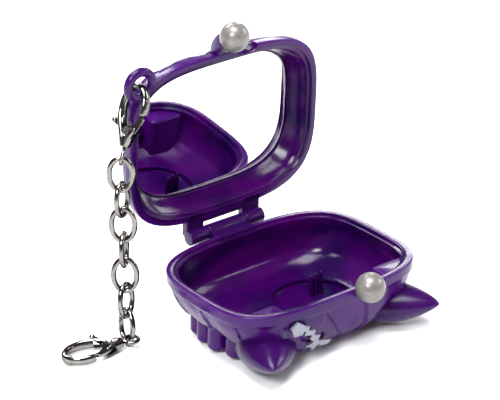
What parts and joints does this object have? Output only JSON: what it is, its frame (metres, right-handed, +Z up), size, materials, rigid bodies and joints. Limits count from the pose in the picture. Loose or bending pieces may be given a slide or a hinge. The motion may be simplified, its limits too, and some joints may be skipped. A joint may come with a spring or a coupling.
{
  "type": "hinged purse keychain",
  "caption": "Small hinged purse case with a mirror in its lid, a two-ball clasp and a link chain with a swivel lobster clasp at each end.",
  "frame": {"origin": "centre of the case's outline, on the underside it stands on", "axes": "+X to the case's right, +Y towards the hinge, +Z up; the lid stands open"},
  "size_m": [0.0913, 0.0681, 0.0796],
  "materials": {
    "purple_plastic": "gloss",
    "pearl_plastic": "satin",
    "mirror_plate": "polished",
    "pad_foam": "matte",
    "silver_trim": "satin",
    "steel": "satin",
    "nickel_plate": "polished"
  },
  "bodies": {
    "case_base": {"base_shell": "purple_plastic", "left_fin": "purple_plastic", "right_fin": "purple_plastic", "hinge_pin": "steel", "base_ball": "pearl_plastic", "front_trim": "silver_trim"},
    "case_lid": {"lid_shell": "purple_plastic", "mirror": "mirror_plate", "mirror_pad": "pad_foam", "lid_ball": "pearl_plastic"},
    "top_clasp": {"top_clasp_body": "nickel_plate", "top_clasp_rivet": "steel", "top_clasp_spring": "steel"},
    "top_lever": {"top_clasp_lever": "nickel_plate"},
    "top_eye": {"top_clasp_swivel_eye": "nickel_plate"},
    "lower_eye": {"lower_clasp_swivel_eye": "nickel_plate"},
    "lower_clasp": {"lower_clasp_body": "nickel_plate", "lower_clasp_rivet": "steel", "lower_clasp_spring": "steel"},
    "lower_lever": {"lower_clasp_lever": "nickel_plate"},
    "link_1": {"chain_link_1": "nickel_plate"},
    "link_2": {"chain_link_2": "nickel_plate"},
    "link_3": {"chain_link_3": "nickel_plate"},
    "link_4": {"chain_link_4": "nickel_plate"},
    "link_5": {"chain_link_5": "nickel_plate"},
    "link_6": {"chain_link_6": "nickel_plate"},
    "link_7": {"chain_link_7": "nickel_plate"}
  },
  "joints": [
    {"name": "lid_hinge", "type": "hinge", "parent": "case_base", "child": "case_lid", "pos_m": [0, 0.0282, 0.0176], "axis": [1, 0, 0], "range_deg": [0, 84.9]},
    {"name": "top_clasp_swing", "type": "hinge", "parent": "case_lid", "child": "top_clasp", "pos_m": [-0.02967, 0.02502, 0.06451], "axis": [-0.9026, -0.0383, 0.4288], "range_deg": [-25, 25]},
    {"name": "top_lever_press", "type": "hinge", "parent": "top_clasp", "child": "top_lever", "pos_m": [-0.03319, 0.02377, 0.05686], "axis": [-0.9005, -0.0869, 0.4261], "range_deg": [0, 25], "stiffness_Nm_per_rad": 0.006},
    {"name": "top_eye_swivel", "type": "hinge", "parent": "top_clasp", "child": "top_eye", "pos_m": [-0.03597, 0.02263, 0.05075], "axis": [0.4147, 0.1235, 0.9015], "range_deg": [-90, 90]},
    {"name": "link_1_swing", "type": "hinge", "parent": "top_eye", "child": "link_1", "pos_m": [-0.03678, 0.02239, 0.04899], "axis": [-0.5313, -0.7714, 0.3501], "range_deg": [-25, 8]},
    {"name": "link_2_swing", "type": "hinge", "parent": "link_1", "child": "link_2", "pos_m": [-0.03707, 0.02199, 0.04186], "axis": [0.8, -0.6, 0], "range_deg": [-25, 25]},
    {"name": "link_3_swing", "type": "hinge", "parent": "link_2", "child": "link_3", "pos_m": [-0.03744, 0.02151, 0.03497], "axis": [-0.8714, -0.484, 0.0796], "range_deg": [-25, 15]},
    {"name": "link_4_swing", "type": "hinge", "parent": "link_3", "child": "link_4", "pos_m": [-0.03787, 0.02093, 0.02808], "axis": [0.8, -0.6, 0], "range_deg": [-25, 25]},
    {"name": "link_5_swing", "type": "hinge", "parent": "link_4", "child": "link_5", "pos_m": [-0.03845, 0.02016, 0.02123], "axis": [-0.7241, -0.676, 0.1371], "range_deg": [-25, 25]},
    {"name": "link_6_swing", "type": "hinge", "parent": "link_5", "child": "link_6", "pos_m": [-0.03917, 0.0192, 0.01442], "axis": [0.8, -0.6, 0], "range_deg": [-14, 18]},
    {"name": "link_7_swing", "type": "hinge", "parent": "link_6", "child": "link_7", "pos_m": [-0.04003, 0.01805, 0.00765], "axis": [-0.8938, -0.4092, 0.1836], "range_deg": [-14, 18]},
    {"name": "lower_eye_turn", "type": "hinge", "parent": "link_7", "child": "lower_eye", "pos_m": [-0.04111, 0.01476, 0.00242], "axis": [0, 0, 1], "range_deg": [-30, 45]},
    {"name": "lower_clasp_swivel", "type": "hinge", "parent": "lower_eye", "child": "lower_clasp", "pos_m": [-0.04111, 0.01476, 0.00242], "axis": [-0.9754, 0.2169, -0.04], "range_deg": [-90, 90]},
    {"name": "lower_lever_press", "type": "hinge", "parent": "lower_clasp", "child": "lower_lever", "pos_m": [-0.04767, 0.01653, 0.00215], "axis": [0.039, -0.0087, -0.9992], "range_deg": [0, 25], "stiffness_Nm_per_rad": 0.006}
  ]
}
